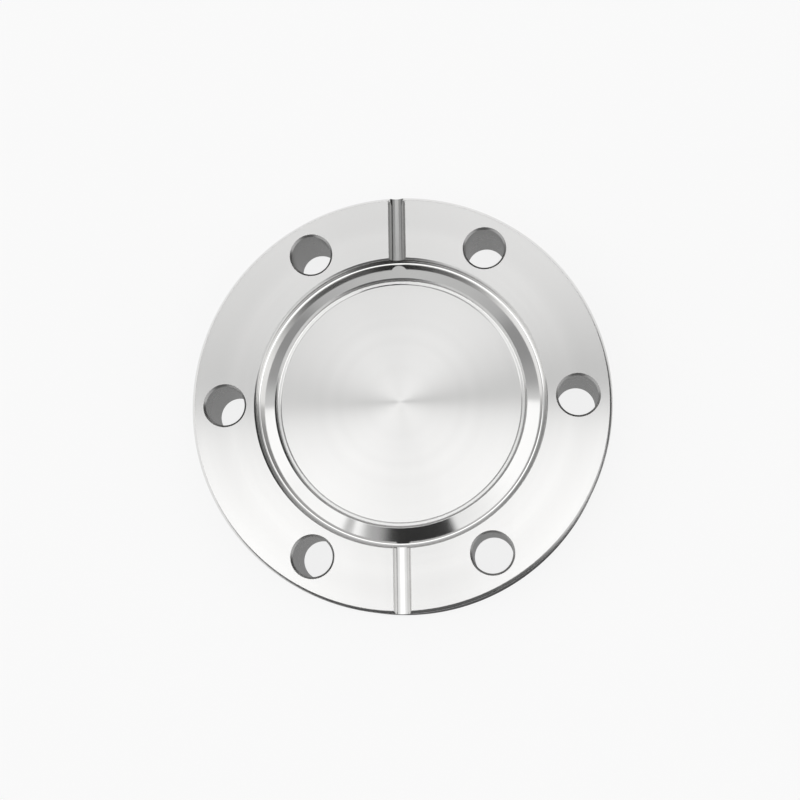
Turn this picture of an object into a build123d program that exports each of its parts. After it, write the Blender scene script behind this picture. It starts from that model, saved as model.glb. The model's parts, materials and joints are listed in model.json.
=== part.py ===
"""Blank vacuum flange, DN40 size, with a knife-edge metal seal.

One piece of stainless steel: a disc is faced and turned, the sealing recess and its
knife edge are turned into the front face, six bolt holes are drilled through, and two
leak-check grooves are milled out from the recess to the rim.

Millimetres. The origin is the centre of the back face, +Z points out of the sealing
face, one bolt hole lies on +X and the leak-check grooves run along +Y and -Y.
"""

import os
from math import radians, tan

from build123d import *

# Blank: the diameters follow from the gasket outward, land by land
flange_thickness = 12.7
rim_chamfer = 0.5

# Sealing recess: the gasket seats inside its wall and is bitten by the knife edge
gasket_diameter = 48.1
gasket_clearance = 0.2
recess_lip_chamfer = 0.15
recess_root_radius = 0.5

# Knife edge: an upright flank inside, a blunted tip and a long slope out to the wall
knife_inset = 3.2
knife_depth = 0.7
knife_slope = 20.0
knife_tip_width = 0.08

# Centre disc: the solid wall inside the knife edge, set back from its tip
disc_setback = 0.9
disc_corner_radius = 0.6

# Bolt holes, with a land of metal on each side of them
bolt_count = 6
bolt_hole_diameter = 6.6
bolt_hole_chamfer = 0.35
inner_land = 1.9
outer_land = 2.275

# Leak-check grooves, cut with a ball-nosed cutter midway between two bolt holes
groove_count = 2
groove_angle = 90.0
groove_cutter_diameter = 3.0
groove_depth = 1.0
groove_overrun = 1.0

# Radii, from the gasket out to the rim
bolt_hole_radius = bolt_hole_diameter / 2
recess_radius = (gasket_diameter + gasket_clearance) / 2
knife_radius = recess_radius - knife_inset
knife_slope_start = knife_radius + knife_tip_width
bolt_circle_radius = recess_radius + inner_land + bolt_hole_radius
flange_radius = bolt_circle_radius + bolt_hole_radius + outer_land

# Heights above the back face
knife_height = flange_thickness - knife_depth
root_height = knife_height - (recess_radius - knife_slope_start) * tan(radians(knife_slope))
disc_height = knife_height - disc_setback

# Path of the groove cutter
groove_axis_height = flange_thickness - groove_depth + groove_cutter_diameter / 2
groove_start_radius = recess_radius - groove_overrun
groove_length = flange_radius - groove_start_radius + groove_overrun

# Corners of the half section, as radius and height
rim_bottom = (flange_radius, 0)
rim_top = (flange_radius, flange_thickness)
recess_lip = (recess_radius, flange_thickness)
recess_root = (recess_radius, root_height)
knife_tip_outside = (knife_slope_start, knife_height)
knife_tip_inside = (knife_radius, knife_height)
disc_corner = (knife_radius, disc_height)


def corner(point):
    """The vertex of the half section that stands at this radius and height."""
    return half_section.sketch_local.vertices().sort_by_distance((*point, 0))[0]


def is_bolt_hole_rim(edge):
    """True for the circles where the bolt holes meet the two faces."""
    return abs(edge.radius - bolt_hole_radius) < 1e-6


with BuildPart() as blank_flange:
    with BuildSketch(Plane.XZ) as half_section:
        with BuildLine():
            Polyline(
                (0, 0),
                rim_bottom,
                rim_top,
                recess_lip,
                recess_root,
                knife_tip_outside,
                knife_tip_inside,
                disc_corner,
                (0, disc_height),
                close=True,
            )
        make_face()
        chamfer([corner(rim_bottom), corner(rim_top)], rim_chamfer)
        chamfer(corner(recess_lip), recess_lip_chamfer)
        fillet(corner(recess_root), recess_root_radius)
        fillet(corner(disc_corner), disc_corner_radius)
    revolve(axis=Axis.Z)

    with PolarLocations(bolt_circle_radius, bolt_count):
        Hole(bolt_hole_radius)
    bolt_hole_rims = blank_flange.edges().filter_by(GeomType.CIRCLE).filter_by(is_bolt_hole_rim)
    chamfer(bolt_hole_rims, bolt_hole_chamfer)

    with Locations((0, 0, groove_axis_height)):
        with PolarLocations(groove_start_radius, groove_count, start_angle=groove_angle):
            Cylinder(
                groove_cutter_diameter / 2,
                groove_length,
                rotation=(0, 90, 0),
                align=(Align.CENTER, Align.CENTER, Align.MIN),
                mode=Mode.SUBTRACT,
            )

blank_flange.part.label = "blank_flange"

os.makedirs("parts", exist_ok=True)
export_step(blank_flange.part, "parts/blank_flange.step")

print(f"flange diameter {2 * flange_radius:.2f} mm, bolt circle {2 * bolt_circle_radius:.2f} mm")
print(f"recess diameter {2 * recess_radius:.2f} mm, knife diameter {2 * knife_radius:.2f} mm")
print(f"volume {blank_flange.part.volume / 1000:.2f} cm3")
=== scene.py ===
# %% [markdown]
# # Blank vacuum flange
# One disc of stainless steel, turned on a lathe, drilled and milled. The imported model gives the
# frame: where the flange stands, how large it is and where its bolt circle lies. Everything
# below is placed from that frame, so the dressed flange fits the solid exactly.

# %% Frame
import json
from math import acos, cos, pi, radians, sin, tan

import bpy
from mathutils import Matrix, Vector


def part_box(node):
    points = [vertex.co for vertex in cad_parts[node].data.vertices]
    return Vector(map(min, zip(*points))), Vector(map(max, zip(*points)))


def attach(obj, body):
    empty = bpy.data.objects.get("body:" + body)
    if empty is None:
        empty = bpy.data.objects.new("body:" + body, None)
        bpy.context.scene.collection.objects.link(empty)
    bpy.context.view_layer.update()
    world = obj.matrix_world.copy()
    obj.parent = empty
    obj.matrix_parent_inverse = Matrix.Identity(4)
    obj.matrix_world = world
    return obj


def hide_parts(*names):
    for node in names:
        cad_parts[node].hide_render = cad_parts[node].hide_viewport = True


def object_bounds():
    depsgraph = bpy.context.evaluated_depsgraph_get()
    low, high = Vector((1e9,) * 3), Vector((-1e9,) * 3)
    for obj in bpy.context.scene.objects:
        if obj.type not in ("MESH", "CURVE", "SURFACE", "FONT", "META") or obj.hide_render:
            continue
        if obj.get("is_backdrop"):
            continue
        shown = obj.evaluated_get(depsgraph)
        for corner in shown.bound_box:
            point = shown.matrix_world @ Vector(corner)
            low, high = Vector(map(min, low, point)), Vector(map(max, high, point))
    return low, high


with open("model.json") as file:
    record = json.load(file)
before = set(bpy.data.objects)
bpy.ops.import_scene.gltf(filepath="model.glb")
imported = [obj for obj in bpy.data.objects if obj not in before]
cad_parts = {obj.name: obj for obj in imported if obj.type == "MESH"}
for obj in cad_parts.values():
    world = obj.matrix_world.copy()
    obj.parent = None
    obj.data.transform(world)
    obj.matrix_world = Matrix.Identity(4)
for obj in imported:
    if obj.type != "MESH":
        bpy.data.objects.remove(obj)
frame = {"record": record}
cad_low, cad_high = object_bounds()

MM = 0.001
MICRON = 0.000001
mounts = {mount["name"]: mount for mount in frame["record"]["mounts"]}
bolts = mounts["bolt_circle"]["dims"]
low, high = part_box("blank_flange")
flange_radius = (high.x - low.x) / 2 / MM
flange_thickness = (high.z - low.z) / MM
print(f"flange {2 * flange_radius:.2f} mm across, {flange_thickness:.2f} mm thick")
print(f"{bolts['count']} bolt holes on a {bolts['pcd_mm']:.1f} mm circle")

# %% [markdown]
# ## The turned section
# On the real flange a lathe tool draws one half section: the back face, the rim with its two
# chamfers, the face, the gasket wall, the root, the long slope up to the knife edge, its bevelled
# inner flank, a narrow land with a fine line beside it, and the set-back disc. It could be carved
# from a cylinder by insets and extrusions, but a list of corners with a radius at each is what the
# lathe follows, and it keeps every arc true. Each corner also says which finish the tool leaves
# on the stretch that leads to it.

# %% Sizes of the section, in millimetres
RIM_CHAMFER = 0.5
RECESS_RADIUS = 24.15
LIP_CHAMFER = 0.25
ROOT_RADIUS = 0.5
KNIFE_RADIUS = 21.02
KNIFE_TIP_WIDTH = 0.03
KNIFE_DEPTH = 0.7
KNIFE_SLOPE = radians(20)
KNIFE_BEVEL = 0.25
DISC_SETBACK = 0.9
LAND_RADIUS = 20.13
FLANK_ROOT_RADIUS = 0.2
LINE_HALF_WIDTH = 0.10
LINE_DEPTH = 0.06
EDGE_BREAK = 0.05
FINE_BREAK = 0.012

face = flange_thickness
knife_height = face - KNIFE_DEPTH
slope_start = KNIFE_RADIUS + KNIFE_TIP_WIDTH
root_height = knife_height - (RECESS_RADIUS - slope_start) * tan(KNIFE_SLOPE)
disc_height = knife_height - DISC_SETBACK
flank_radius = KNIFE_RADIUS - KNIFE_BEVEL

# Corners as radius, height, rounding, and the finish of the stretch that leads to the corner
CORNERS = [
    (0, 0, 0, "back"),
    (flange_radius - RIM_CHAMFER, 0, EDGE_BREAK, "back"),
    (flange_radius, RIM_CHAMFER, EDGE_BREAK, "rim"),
    (flange_radius, face - RIM_CHAMFER, EDGE_BREAK, "rim"),
    (flange_radius - RIM_CHAMFER, face, EDGE_BREAK, "rim"),
    (RECESS_RADIUS + LIP_CHAMFER, face, FINE_BREAK, "ring"),
    (RECESS_RADIUS, face - LIP_CHAMFER, FINE_BREAK, "recess"),
    (RECESS_RADIUS, root_height, ROOT_RADIUS, "recess"),
    (slope_start, knife_height, FINE_BREAK, "recess"),
    (KNIFE_RADIUS, knife_height, FINE_BREAK, "recess"),
    (flank_radius, knife_height - KNIFE_BEVEL, EDGE_BREAK, "recess"),
    (flank_radius, disc_height, FLANK_ROOT_RADIUS, "recess"),
    (LAND_RADIUS + LINE_HALF_WIDTH, disc_height, FINE_BREAK, "disc"),
    (LAND_RADIUS, disc_height - LINE_DEPTH, FINE_BREAK, "recess"),
    (LAND_RADIUS - LINE_HALF_WIDTH, disc_height, FINE_BREAK, "recess"),
    (0, disc_height, 0, "disc"),
]
print(f"{len(CORNERS)} corners, the disc {face - disc_height:.2f} mm below the face")

# %% [markdown]
# ## Rounding the corners
# A bevel modifier could round these edges after the solid is made, but it gives every edge the
# same width. Here each corner becomes a true arc of its own radius in the flat section, before
# anything is spun, so the gasket root keeps its half millimetre while the knife stays sharp.

# %% Round the corners of the section
ARC_STEP = radians(7.5)
FEWEST_STEPS = 3


def rounded(corners):
    """Section points as (radius, height, finish), with an arc at each corner that has a rounding."""
    points = []
    for index, (r, z, rounding, finish) in enumerate(corners):
        if not rounding:
            points.append((r, z, finish))
            continue
        here = Vector((r, z))
        before = (Vector(corners[index - 1][:2]) - here).normalized()
        after = (Vector(corners[index + 1][:2]) - here).normalized()
        half = before.angle(after) / 2
        centre = here + (before + after).normalized() * rounding / sin(half)
        start = here + before * rounding / tan(half) - centre
        turn = (pi - 2 * half) * (1 if before.cross(after) < 0 else -1)
        steps = max(FEWEST_STEPS, round(abs(turn) / ARC_STEP))
        for step in range(steps + 1):
            angle = turn * step / steps
            spoke = Matrix.Rotation(angle, 2) @ start
            points.append((*(centre + spoke), finish if step == 0 else corners[index + 1][3]))
    return points


section = rounded(CORNERS)
print(f"section: {len(section)} points, root {face - root_height:.2f} mm deep at the wall")

# %% [markdown]
# ## Spinning the section
# The section is spun once round the axis. The screw modifier would do it, but writing the rings
# out keeps the finish of each stretch as the material of its faces. All the work is done in
# millimetres, where the boolean cuts below are at their most exact, and scaled down at the end.

# %% Spin the section into a closed solid
SPOKES = 360
FINISHES = ["back", "rim", "ring", "recess", "disc", "bore", "groove"]


def spin(points, spokes=SPOKES):
    """Vertices, faces and finishes of the solid that the section sweeps round the Z axis."""
    rings = [index for index, (r, _, _) in enumerate(points) if r > 0]
    angles = [2 * pi * k / spokes for k in range(spokes)]
    verts, ring_start = [], {}
    for index in rings:
        r, z, _ = points[index]
        ring_start[index] = len(verts)
        verts += [(r * cos(angle), r * sin(angle), z) for angle in angles]
    faces, finishes = [], []
    for index, (r, z, _) in enumerate(points):
        if r == 0:
            ring = ring_start[rings[0] if index == 0 else rings[-1]]
            verts.append((0, 0, z))
            pole = len(verts) - 1
            for k in range(spokes):
                pair = (ring + k, ring + (k + 1) % spokes)
                faces.append((pole, *reversed(pair)) if index == 0 else (pole, *pair))
                finishes.append("back" if index == 0 else "disc")
        elif index + 1 in ring_start:
            a, b = ring_start[index], ring_start[index + 1]
            for k in range(spokes):
                after = (k + 1) % spokes
                faces.append((a + k, a + after, b + after, b + k))
                finishes.append(points[index + 1][2])
    return verts, faces, finishes


def solid(name, verts, faces, finishes):
    """A mesh object with one material slot per finish."""
    mesh = bpy.data.meshes.new(name)
    mesh.from_pydata(verts, [], faces)
    for finish in FINISHES:
        mesh.materials.append(bpy.data.materials.get(finish) or bpy.data.materials.new(finish))
    for polygon, finish in zip(mesh.polygons, finishes):
        polygon.material_index = FINISHES.index(finish)
    mesh.update()
    made = bpy.data.objects.new(name, mesh)
    bpy.context.scene.collection.objects.link(made)
    return made


flange = solid("flange_body", *spin(section))
print(f"spun {len(flange.data.polygons)} faces")

# %% [markdown]
# ## Bolt holes
# Each hole is drilled through and broken at both ends by a small countersink. The cutter has the
# shape of that whole hole, chamfers included, so one cut leaves wall and chamfers together. An
# inset circle on the face would need the spun rings rebuilt round every hole.

# %% Cutter for the bolt holes
HOLE_CHAMFER = 0.35
HOLE_SPOKES = 96
OVERRUN = 1.0

hole_radius = bolts["hole_r_mm"]
flare = hole_radius + HOLE_CHAMFER + OVERRUN
HOLE_SECTION = [
    (0, -OVERRUN, "bore"),
    (flare, -OVERRUN, "bore"),
    (hole_radius, HOLE_CHAMFER, "bore"),
    (hole_radius, face - HOLE_CHAMFER, "bore"),
    (flare, face + OVERRUN, "bore"),
    (0, face + OVERRUN, "bore"),
]


def bolt_hole_cutter(number):
    """The cutter of one bolt hole, where the bolt circle has it."""
    verts, faces, _ = spin(HOLE_SECTION, HOLE_SPOKES)
    turn = 2 * pi * number / bolts["count"]
    reach = bolts["pcd_mm"] / 2
    moved = [(x + reach * cos(turn), y + reach * sin(turn), z) for x, y, z in verts]
    return solid(f"bolt_hole_cutter_{number}", moved, faces, ["bore"] * len(faces))


cutters = [bolt_hole_cutter(number) for number in range(bolts["count"])]
print(f"{len(cutters)} holes of {2 * hole_radius:.1f} mm on a {bolts['pcd_mm']:.1f} mm circle")

# %% [markdown]
# ## Leak-check grooves
# A ball-nosed cutter runs out from the recess to the rim, midway between two bolt holes, and
# leaves a round-bottomed groove, through which a leak of the seal would show, with its sharp
# edges just broken. A cylinder would do for the round bottom alone. The cutter here is the whole
# section, broken edges included, as a long bar.

# %% Cutter for the leak-check grooves
GROOVE_CUTTER_RADIUS = 1.45
GROOVE_DEPTH = 1.0
GROOVE_EDGE_BREAK = 0.12
GROOVE_START = RECESS_RADIUS - OVERRUN
GROOVE_ARC_STEPS = 32

groove_axis = face - GROOVE_DEPTH + GROOVE_CUTTER_RADIUS
edge_depth = groove_axis - (face - GROOVE_EDGE_BREAK)
arc_end = acos(edge_depth / GROOVE_CUTTER_RADIUS)
half_width = GROOVE_CUTTER_RADIUS * sin(arc_end)


def groove_cutter(direction):
    """A bar with the groove's section, from inside the recess out past the rim."""
    outline = []
    for step in range(GROOVE_ARC_STEPS + 1):
        angle = arc_end * (2 * step / GROOVE_ARC_STEPS - 1)
        drop = GROOVE_CUTTER_RADIUS * cos(angle)
        outline.append((GROOVE_CUTTER_RADIUS * sin(angle), groove_axis - drop))
    opened = half_width + GROOVE_EDGE_BREAK + OVERRUN
    outline += [(opened, face + OVERRUN), (-opened, face + OVERRUN)]
    count = len(outline)
    reach = (GROOVE_START, flange_radius + OVERRUN)
    verts = [(-direction * x, direction * y, z) for y in reach for x, z in outline]
    faces = [tuple(reversed(range(count))), tuple(range(count, 2 * count))]
    faces += [(k, (k + 1) % count, count + (k + 1) % count, count + k) for k in range(count)]
    return solid(f"groove_cutter_{direction}", verts, faces, ["groove"] * len(faces))


cutters += [groove_cutter(1), groove_cutter(-1)]
print(f"grooves {2 * (half_width + GROOVE_EDGE_BREAK):.2f} mm wide, {GROOVE_DEPTH:.2f} mm deep")

# %% [markdown]
# ## Cutting
# The exact boolean carries each cutter's own material over to the faces that it leaves, so the
# drilled walls and milled grooves come out with their own finish. Edges sharper than thirty
# degrees stay crisp, and the weighted normals let the broad faces set the shading of the narrow
# arcs beside them, as light does on turned metal.

# %% Cut, scale to metres and shade
SHARP = radians(30)
BROAD_FACE_WEIGHT = 100


def cut(target, tools):
    """Takes every tool out of the target and leaves a plain mesh."""
    for tool in tools:
        boolean = target.modifiers.new(tool.name, "BOOLEAN")
        boolean.operation = "DIFFERENCE"
        boolean.solver = "EXACT"
        boolean.material_mode = "TRANSFER"
        boolean.object = tool
    graph = bpy.context.evaluated_depsgraph_get()
    finished = bpy.data.meshes.new_from_object(target.evaluated_get(graph))
    target.modifiers.clear()
    target.data = finished
    for tool in tools:
        bpy.data.objects.remove(tool)


cut(flange, cutters)
flange.data.transform(Matrix.Scale(MM, 4))
for polygon in flange.data.polygons:
    polygon.use_smooth = True
flange.data.set_sharp_from_angle(angle=SHARP)
weighted = flange.modifiers.new("broad faces set the shading", "WEIGHTED_NORMAL")
weighted.keep_sharp = True
weighted.weight = BROAD_FACE_WEIGHT

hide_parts("blank_flange")
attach(flange, "root")
used = sorted({flange.data.materials[p.material_index].name for p in flange.data.polygons})
print(f"cut flange: {len(flange.data.polygons)} faces, finishes {used}")

# %% [markdown]
# ## Tool marks
# A turning tool leaves fine rings that follow the section wherever it goes: circles on a face,
# hoops on a wall. The distance from the axis plus the height grows along all of them, so noise
# read along that one number gives rings everywhere. It could be a wave texture, but a real
# feed is never quite even, and noise in one dimension has that unevenness built in.

# %% Helpers for node trees
def socket(group, name, value=None):
    """Adds a named number to a node group: an input where it has a value, otherwise an output."""
    way = "OUTPUT" if value is None else "INPUT"
    made = group.interface.new_socket(name=name, in_out=way, socket_type="NodeSocketFloat")
    if value is not None:
        made.default_value = value


def math_node(nodes, links, operation, a, b=None):
    """One arithmetic node. Each side is a socket or a number."""
    node = nodes.new("ShaderNodeMath")
    node.operation = operation
    for slot, value in zip(node.inputs, (a, b)):
        if hasattr(value, "links"):
            links.new(value, slot)
        elif value is not None:
            slot.default_value = value
    return node.outputs[0]


print("helpers ready:", socket.__name__, "and", math_node.__name__)

# %% A node group for turning marks
FINE_FEED = 0.2 * MM
BAND_SPACING = 3 * MM
RING_DETAIL = 2.0


def turning_marks():
    """Rings of tool marks. Feed is their spacing, Broad that of the slow bands, in metres."""
    group = bpy.data.node_groups.new("Turning marks", "ShaderNodeTree")
    socket(group, "Feed", FINE_FEED)
    socket(group, "Broad", BAND_SPACING)
    socket(group, "Height")
    socket(group, "Bands")
    nodes, links = group.nodes, group.links
    inside, outside = nodes.new("NodeGroupInput"), nodes.new("NodeGroupOutput")
    place = nodes.new("ShaderNodeTexCoord")
    parts = nodes.new("ShaderNodeSeparateXYZ")
    links.new(place.outputs["Object"], parts.inputs[0])
    across = math_node(nodes, links, "POWER", parts.outputs["X"], 2)
    along = math_node(nodes, links, "POWER", parts.outputs["Y"], 2)
    from_axis = math_node(nodes, links, "SQRT", math_node(nodes, links, "ADD", across, along))
    travel = math_node(nodes, links, "ADD", from_axis, parts.outputs["Z"])
    for spacing, result in (("Feed", "Height"), ("Broad", "Bands")):
        rings = nodes.new("ShaderNodeTexNoise")
        rings.noise_dimensions = "1D"
        rings.inputs["Scale"].default_value = 1.0
        rings.inputs["Detail"].default_value = RING_DETAIL
        count = math_node(nodes, links, "DIVIDE", travel, inside.outputs[spacing])
        links.new(count, rings.inputs["W"])
        links.new(rings.outputs["Fac"], outside.inputs[result])
    return group


marks_group = turning_marks()
print("node group:", marks_group.name)

# %% [markdown]
# ## Handling
# Polished steel that has been wiped and packed keeps a soft cloudiness and a few hairline rubs.
# Both are small changes of roughness. A painted mask would do for one side, but noise in the
# object's own space covers every side without a seam.

# %% A node group for wiping haze
CLOUD_SIZE = 20 * MM
RUB_SIZE = 1.2 * MM
CLOUD_DETAIL = 3.0
RUB_ANGLE = radians(31)
NO_STRETCH = (1, 1, 1)
RUB_STRETCH = (1, 0.06, 1)


def wiping_haze():
    """A mask between 0 and 1: soft clouds with short hairline rubs over them."""
    group = bpy.data.node_groups.new("Wiping haze", "ShaderNodeTree")
    socket(group, "Cloud size", CLOUD_SIZE)
    socket(group, "Rub size", RUB_SIZE)
    socket(group, "Haze")
    nodes, links = group.nodes, group.links
    inside, outside = nodes.new("NodeGroupInput"), nodes.new("NodeGroupOutput")
    place = nodes.new("ShaderNodeTexCoord")
    layers = []
    for spacing, stretch in (("Cloud size", NO_STRETCH), ("Rub size", RUB_STRETCH)):
        lengthened = nodes.new("ShaderNodeMapping")
        lengthened.inputs["Rotation"].default_value = (0, 0, RUB_ANGLE)
        lengthened.inputs["Scale"].default_value = stretch
        links.new(place.outputs["Object"], lengthened.inputs["Vector"])
        cloud = nodes.new("ShaderNodeTexNoise")
        cloud.inputs["Detail"].default_value = CLOUD_DETAIL
        links.new(lengthened.outputs["Vector"], cloud.inputs["Vector"])
        per_metre = math_node(nodes, links, "DIVIDE", 1.0, inside.outputs[spacing])
        links.new(per_metre, cloud.inputs["Scale"])
        layers.append(cloud.outputs["Fac"])
    links.new(math_node(nodes, links, "MULTIPLY", *layers), outside.inputs["Haze"])
    return group


haze_group = wiping_haze()
print("node group:", haze_group.name)

# %% [markdown]
# ## The finishes
# It is one steel throughout, so every finish starts from the same colour and differs in what the
# tool left: how rough it is, how far apart its marks lie and how much they draw a highlight out.
# Turned faces spread light across their rings, which the anisotropy of the shader gives with a
# tangent that runs round the axis. Separate grooves in the mesh would give the same spread at a
# thousand times the cost. Drilled and milled walls have no such order and stay plain, and their
# steel is painted darker, as painted shade down the holes and in the grooves.

# %% Materials
STEEL = (0.80, 0.797, 0.79)
DARKER_BAND = 0.97
LIGHTER_BAND = 1.02
ACROSS_THE_RINGS = 0.25

# Finish: brightness, roughness, haze, ring spacing in mm, ring depth in microns, anisotropy
FINISH_VALUES = {
    "ring": (1.0, 0.24, 0.015, 0.35, 0.15, 1.0),
    "disc": (1.0, 0.22, 0.012, 0.40, 0.2, 1.0),
    "recess": (1.0, 0.10, 0.03, 0.30, 0.3, 0.5),
    "rim": (1.0, 0.11, 0.03, 0.30, 0.6, 0.5),
    "back": (1.0, 0.24, 0.10, 0.45, 1.0, 0.6),
    # The lower brightness of bore and groove is painted shade: darker steel down the holes and in the
    # grooves
    "bore": (0.72, 0.28, 0.08, 0.40, 1.0, 0.0),
    "groove": (0.80, 0.16, 0.03, 0.25, 0.4, 0.0),
}


def steel_shade(brightness):
    """The steel's colour at a brightness."""
    return (*(brightness * channel for channel in STEEL), 1)


def dress(finish):
    """Fills in the material of one finish."""
    brightness, roughness, haze, feed, depth, anisotropy = FINISH_VALUES[finish]
    material = bpy.data.materials[finish]
    material.use_nodes = True
    nodes, links = material.node_tree.nodes, material.node_tree.links
    steel = nodes["Principled BSDF"]
    steel.inputs["Metallic"].default_value = 1.0
    steel.inputs["Anisotropic"].default_value = anisotropy
    steel.inputs["Anisotropic Rotation"].default_value = ACROSS_THE_RINGS
    marks = nodes.new("ShaderNodeGroup")
    marks.node_tree = marks_group
    marks.inputs["Feed"].default_value = feed * MM
    wiped = nodes.new("ShaderNodeGroup")
    wiped.node_tree = haze_group
    toned = nodes.new("ShaderNodeMix")
    toned.data_type = "RGBA"
    toned.inputs["A"].default_value = steel_shade(DARKER_BAND * brightness)
    toned.inputs["B"].default_value = steel_shade(LIGHTER_BAND * brightness)
    links.new(marks.outputs["Bands"], toned.inputs["Factor"])
    links.new(toned.outputs["Result"], steel.inputs["Base Color"])
    hazed = math_node(nodes, links, "MULTIPLY", wiped.outputs["Haze"], 2 * haze)
    hazed = math_node(nodes, links, "ADD", hazed, roughness - haze / 2)
    links.new(hazed, steel.inputs["Roughness"])
    bump = nodes.new("ShaderNodeBump")
    bump.inputs["Distance"].default_value = depth * MICRON
    links.new(marks.outputs["Height"], bump.inputs["Height"])
    links.new(bump.outputs["Normal"], steel.inputs["Normal"])
    if anisotropy:
        round_axis = nodes.new("ShaderNodeTangent")
        round_axis.direction_type = "RADIAL"
        round_axis.axis = "Z"
        links.new(round_axis.outputs["Tangent"], steel.inputs["Tangent"])


for finish in FINISHES:
    dress(finish)
print("dressed", len(FINISHES), "finishes")

# %% [markdown]
# ## Masks and blends
# The floor and the room are both made of masks, which are 0 in one place and 1 in another, and of
# values blended by them. A colour ramp can do both at once, but a named step and a named blend
# read like sentences further down.

# %% Helpers for masks
def smooth_step(nodes, links, value, start, end):
    """0 below start, 1 above end, smooth between. Start may be the higher of the two."""
    node = nodes.new("ShaderNodeMapRange")
    node.interpolation_type = "SMOOTHSTEP"
    links.new(value, node.inputs["Value"])
    node.inputs["From Min"].default_value = start
    node.inputs["From Max"].default_value = end
    return node.outputs[0]


def blend(nodes, links, mask, a, b):
    """a where the mask is 0, b where it is 1. Each side is a socket or a number."""
    node = nodes.new("ShaderNodeMix")
    node.data_type = "FLOAT"
    links.new(mask, node.inputs[0])
    for slot, value in zip(node.inputs[2:4], (a, b)):
        if hasattr(value, "links"):
            links.new(value, slot)
        else:
            slot.default_value = value
    return node.outputs[0]


print("helpers ready:", smooth_step.__name__, "and", blend.__name__)

# %% [markdown]
# ## The paper underneath
# The flange lies on white paper lit from below, as on a light table. A plain white floor under
# strong lamps would do, but the steel would burn out before the paper turned white. Here the
# paper glows by itself for the camera, and for the steel as far as its edge, past which the
# table is dark. Close round the flange, where it would shade the paper, and beneath it, where the
# paper is seen down the bolt holes by their walls, the glow that the steel sees is painted weaker:
# a painted shadow that only the steel's reflections show. For all other light the paper is
# ordinary white and takes the real shadow.

# %% Paper on a light table
FLOOR_SIZE = 6.0
FLOOR_GAP = 0.00002
FLOOR_WHITE = (0.93, 0.93, 0.93, 1)
FLOOR_SHADE = (0.16, 0.16, 0.16, 1)
TABLE_DARK = (0.02, 0.02, 0.02, 1)
FLOOR_GLOW = 0.835
# The weaker glow under the flange and the contact band round it are a painted shadow in the paper's
# glow
PAINTED_SHADE_UNDER_GLOW = 0.30
PAPER_EDGE = (0.17, 0.20)
PAINTED_CONTACT_SHADOW = ((flange_radius + 1.5) * MM, (flange_radius + 8) * MM)
UNDER_EDGE = (flange_radius - RIM_CHAMFER) * MM


def diffuse(nodes, colour):
    """The output of a matt surface."""
    surface = nodes.new("ShaderNodeBsdfDiffuse")
    surface.inputs["Color"].default_value = colour
    return surface.outputs[0]


def mix_surfaces(nodes, links, mask, a, b):
    """Surface a where the mask is 0, surface b where it is 1."""
    mixed = nodes.new("ShaderNodeMixShader")
    for slot, value in zip(mixed.inputs, (mask, a, b)):
        links.new(value, slot)
    return mixed.outputs[0]


def floor_material():
    """White paper that glows a little from below, as on a light table, and keeps a soft shadow; close
    round and under the flange its glow for the steel is turned down as a painted shadow.
    """
    paint = bpy.data.materials.new("light table paper")
    paint.use_nodes = True
    nodes, links = paint.node_tree.nodes, paint.node_tree.links
    nodes.remove(nodes["Principled BSDF"])
    seen = nodes.new("ShaderNodeLightPath")
    by_camera, by_gloss = seen.outputs["Is Camera Ray"], seen.outputs["Is Glossy Ray"]
    reach = nodes.new("ShaderNodeVectorMath")
    reach.operation = "LENGTH"
    links.new(nodes.new("ShaderNodeTexCoord").outputs["Object"], reach.inputs[0])
    distance = reach.outputs["Value"]

    # Painted shadow: the glow that the steel sees is turned down close round the flange and under it
    clear = smooth_step(nodes, links, distance, *PAINTED_CONTACT_SHADOW)
    beyond = math_node(nodes, links, "GREATER_THAN", distance, UNDER_EDGE)
    clear = blend(nodes, links, beyond, PAINTED_SHADE_UNDER_GLOW / FLOOR_GLOW, clear)
    glowing = math_node(nodes, links, "MAXIMUM", by_camera, clear)
    glow = nodes.new("ShaderNodeEmission")
    links.new(math_node(nodes, links, "MULTIPLY", glowing, FLOOR_GLOW), glow.inputs["Strength"])
    lit = nodes.new("ShaderNodeAddShader")
    links.new(diffuse(nodes, FLOOR_SHADE), lit.inputs[0])
    links.new(glow.outputs[0], lit.inputs[1])

    far = smooth_step(nodes, links, distance, *PAPER_EDGE)
    gloss_far = math_node(nodes, links, "MULTIPLY", by_gloss, far)
    gloss_near = math_node(nodes, links, "SUBTRACT", by_gloss, gloss_far)
    bright = math_node(nodes, links, "MAXIMUM", by_camera, gloss_near)
    paper, table = diffuse(nodes, FLOOR_WHITE), diffuse(nodes, TABLE_DARK)
    unlit = mix_surfaces(nodes, links, gloss_far, paper, table)
    whole = mix_surfaces(nodes, links, bright, unlit, lit.outputs[0])
    links.new(whole, nodes["Material Output"].inputs["Surface"])
    return paint


bpy.ops.mesh.primitive_plane_add(size=FLOOR_SIZE, location=(0, 0, low.z - FLOOR_GAP))
floor = bpy.context.object
floor.name = "floor"
floor.data.materials.append(floor_material())
floor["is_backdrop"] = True
print("floor at", floor.location.z)

# %% [markdown]
# ## The room
# Bright steel shows only what stands round it. The room is a white tent, open towards the north
# side, where grey walls show. It could be built of planes and lamps, but as a function of
# direction in the world shader it lights the steel softly with no lamp in view, and costs
# nothing. East, north and up are the three parts of the direction. The camera sees plain white.

# %% Tent and walls
TENT_WHITE = 1.22
BACKGROUND = 0.95
OPEN_SIDE = (0.140, 0.165)
HALFWAY = 0.5
# Bearing from east or west, 0, to due north, 1, and the grey of the wall there
WALLS = [
    (0.0, 0.74), (0.15, 0.72), (0.27, 0.42), (0.4, 0.33),
    (0.5, 0.33), (0.64, 0.52), (0.8, 0.58), (1.0, 0.62),
]


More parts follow.
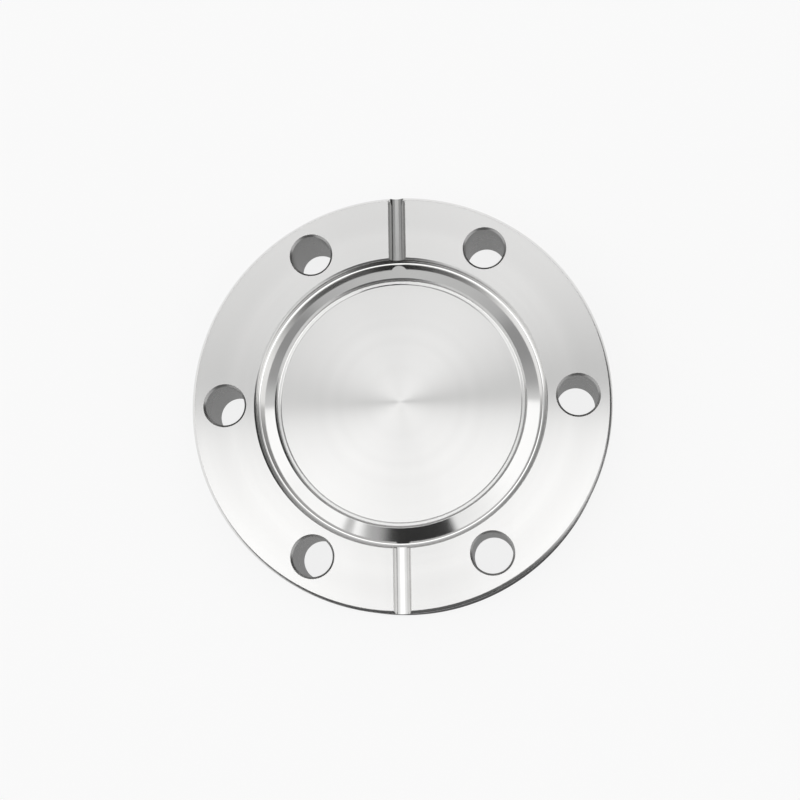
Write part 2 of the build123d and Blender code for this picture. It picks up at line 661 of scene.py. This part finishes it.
def ramp(nodes, links, value, stops, interpolation="EASE"):
    """A grey colour ramp read at a value between 0 and 1."""
    node = nodes.new("ShaderNodeValToRGB")
    node.color_ramp.interpolation = interpolation
    elements = node.color_ramp.elements
    while len(elements) < len(stops):
        elements.new(HALFWAY)
    for element, (position, grey) in zip(elements, stops):
        element.position = position
        element.color = (grey, grey, grey, 1)
    links.new(value, node.inputs[0])
    return node.outputs[0]


world = bpy.data.worlds.new("white tent")
bpy.context.scene.world = world
world.use_nodes = True
nodes, links = world.node_tree.nodes, world.node_tree.links
looking = nodes.new("ShaderNodeTexCoord").outputs["Generated"]
direction = nodes.new("ShaderNodeSeparateXYZ")
links.new(looking, direction.inputs[0])
east, north, up = direction.outputs

side = math_node(nodes, links, "ABSOLUTE", east)
bearing = math_node(nodes, links, "ARCTAN2", north, side)
bearing = math_node(nodes, links, "DIVIDE", bearing, pi / 2)
walls = ramp(nodes, links, bearing, WALLS)
open_side = smooth_step(nodes, links, north, *OPEN_SIDE)
room = blend(nodes, links, open_side, TENT_WHITE, walls)
print("walls:", len(WALLS), "stops")

# %% [markdown]
# ## Dusk low down
# Near the floor the tent ends and the room beyond it is dimmer: a little to the south, much more
# to the north, and darkest to the north-east. Small chamfers and the knife edge catch just this
# band, and it gives them their dark outlines. Painting the edges dark would do for one view
# only, while a dim band in the room follows the steel from every side.

# %% Dusk
DARK = 0.03
NORTH_DUSK = 0.20
SOUTH_DUSK = 0.70
NORTHERN = (0.02, 0.15)
LOW_DOWN = (0.50, 0.30)
SIDE_BEARING = (0.36, 0.24)
SIDE_HEIGHT = (0.66, 0.42)
# Azimuth, elevation, inner and outer size of the dark corner, in degrees
DARK_CORNER = (24, 6, 12, 34)


def toward(azimuth, elevation):
    """Unit vector of a direction, in degrees."""
    a, e = radians(azimuth), radians(elevation)
    return Vector((cos(a) * cos(e), sin(a) * cos(e), sin(e)))


def near_direction(azimuth, elevation, inner, outer):
    """Mask that is 1 within inner degrees of a direction and 0 beyond outer degrees."""
    dot = nodes.new("ShaderNodeVectorMath")
    dot.operation = "DOT_PRODUCT"
    links.new(looking, dot.inputs[0])
    dot.inputs[1].default_value = toward(azimuth, elevation)
    limits = cos(radians(outer)), cos(radians(inner))
    return smooth_step(nodes, links, dot.outputs["Value"], *limits)


northern = smooth_step(nodes, links, north, *NORTHERN)
dusk = blend(nodes, links, northern, SOUTH_DUSK, NORTH_DUSK)
sideways = smooth_step(nodes, links, bearing, *SIDE_BEARING)
sideways = math_node(nodes, links, "MULTIPLY", sideways, northern)
side_height = smooth_step(nodes, links, up, *SIDE_HEIGHT)
sideways = math_node(nodes, links, "MULTIPLY", sideways, side_height)
low_down = smooth_step(nodes, links, up, *LOW_DOWN)
low_down = math_node(nodes, links, "MAXIMUM", low_down, sideways)
room = blend(nodes, links, low_down, room, dusk)
room = blend(nodes, links, near_direction(*DARK_CORNER), room, DARK)
print("dusk from", SOUTH_DUSK, "in the south to", NORTH_DUSK, "in the north")

# %% [markdown]
# ## The dark front
# The tent has its way in at the front, open from the floor to well above head height. The upper
# part of the long slope, the gasket wall and the chamfers at the front show it as their darkest
# grey. Each of them looks at another height, so the opening is wide high up, narrow lower down
# and a little wider again at the floor. One dark card could stand there, but three widths blended
# by height fit what each band of the steel sees.

# %% Dark front
FRONT_GREY = 0.12
FRONT_AZIMUTH = 273
FRONT_TOP = (0.73, 0.68)
WIDE = (0.15, 0.90)
NARROW = (0.82, 0.99)
MIDDLE = (0.55, 0.85)
TO_NARROW = (0.45, 0.30)
TO_MIDDLE = (0.16, 0.06)

upward = math_node(nodes, links, "POWER", up, 2)
level = math_node(nodes, links, "SQRT", math_node(nodes, links, "SUBTRACT", 1.0, upward))
ahead = toward(FRONT_AZIMUTH, 0)
eastward = math_node(nodes, links, "MULTIPLY", east, ahead.x)
northward = math_node(nodes, links, "MULTIPLY", north, ahead.y)
facing = math_node(nodes, links, "ADD", eastward, northward)
facing = math_node(nodes, links, "DIVIDE", facing, level)

wide, narrow, middle = (smooth_step(nodes, links, facing, *width) for width in (WIDE, NARROW, MIDDLE))
front = blend(nodes, links, smooth_step(nodes, links, up, *TO_NARROW), wide, narrow)
front = blend(nodes, links, smooth_step(nodes, links, up, *TO_MIDDLE), front, middle)
front = math_node(nodes, links, "MULTIPLY", front, smooth_step(nodes, links, up, *FRONT_TOP))
room = blend(nodes, links, front, room, FRONT_GREY)
print("front at", FRONT_AZIMUTH, "degrees")

# %% [markdown]
# ## Shapes at the front
# The slope nearest the front mirrors a dark block with two thin bars beside it, as someone who
# stands in the opening and the poles of the tent would give. Modelled ones could stand there,
# but the steel blurs them so much that a round soft-edged spot for each is enough.

# %% Shapes at the front
# Each shape: azimuth, elevation, inner and outer size in degrees, brightness
SHAPES = [
    (233.5, 50.6, 0.8, 2.2, 0.35),
    (247, 54, 2, 6, 0.42),
    (256, 53.5, 1, 5, 0.18),
    (272, 54, 9.5, 12, DARK),
    (262, 34, 7, 16, DARK),
]
for *place, brightness in SHAPES:
    room = blend(nodes, links, near_direction(*place), room, brightness)
print(len(SHAPES), "shapes")

# %% [markdown]
# ## The lamp box overhead
# A long lamp box hangs over the flange from east to west. Each turned face draws it out across
# its rings into a fan, and that gives the flange its bright lower half, its grey band across the
# middle and the soft fan on the disc. An area lamp could hang there, but as a row of brightness
# steps from south to north its soft edges can be set one by one.

# %% Lamp box and the finished room
LAMP_PEAK = 1.70
OVERHEAD = (0.80, 0.90)
RAMP_START = -0.50
# How far north a direction points, and how bright the ceiling is there
CEILING = [
    (-0.50, 0.05), (-0.35, 0.75), (-0.20, 1.65), (-0.05, 1.70), (0.125, 1.70),
    (0.16, 0.83), (0.20, 0.32), (0.25, 0.44), (0.31, 0.85), (0.50, 0.88),
]

stops = [(place - RAMP_START, brightness / LAMP_PEAK) for place, brightness in CEILING]
along_box = math_node(nodes, links, "SUBTRACT", north, RAMP_START)
ceiling = ramp(nodes, links, along_box, stops, "LINEAR")
ceiling = math_node(nodes, links, "MULTIPLY", ceiling, LAMP_PEAK)
overhead = smooth_step(nodes, links, up, *OVERHEAD)
room = blend(nodes, links, overhead, room, ceiling)

seen = nodes.new("ShaderNodeLightPath")
shown = blend(nodes, links, seen.outputs["Is Camera Ray"], room, BACKGROUND)
links.new(shown, nodes["Background"].inputs["Color"])
print("room ready, lamp box at", LAMP_PEAK)

# %% [markdown]
# ## Camera
# The camera stands above the flange, a little to the front and right of its axis, and looks at
# the middle of the flange. It could be aimed with a constraint, but a matrix made from where it
# stands, what it looks at and which way is right says all three plainly. The lens is a long one,
# so that the round outline stays round.

# %% Camera
CAMERA_PLACE = Vector((0.0196, -0.0381, 0.2315))
CAMERA_TARGET = Vector((0, 0.0002, 0.0118))
CAMERA_RIGHT = Vector((0.9986, -0.0231, -0.0467))
LENS = 60.7
CLIP_START = 0.01

camera_data = bpy.data.cameras.new("camera")
camera_data.lens = LENS
camera = bpy.data.objects.new("camera", camera_data)
bpy.context.scene.collection.objects.link(camera)
back = (CAMERA_PLACE - CAMERA_TARGET).normalized()
right = (CAMERA_RIGHT - back * CAMERA_RIGHT.dot(back)).normalized()
turn = Matrix((right, back.cross(right), back)).transposed()
camera.matrix_world = Matrix.Translation(CAMERA_PLACE) @ turn.to_4x4()
camera_data.clip_start = CLIP_START
bpy.context.scene.camera = camera
bpy.context.scene.view_settings.view_transform = "Standard"
print("camera at", tuple(round(v, 4) for v in CAMERA_PLACE))

# %% [markdown]
# ## Sizes
# The dressed flange has to fill the same box as the solid. The eye could judge that from a view
# or two, but the two boxes, compared corner by corner, show any growth in numbers.

# %% Compare the boxes and finish
visual_low, visual_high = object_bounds()
grown = max(*(cad_low - visual_low), *(visual_high - cad_high)) / MM
print(f"the dressed flange stands {grown:.4f} mm proud of the solid at most")
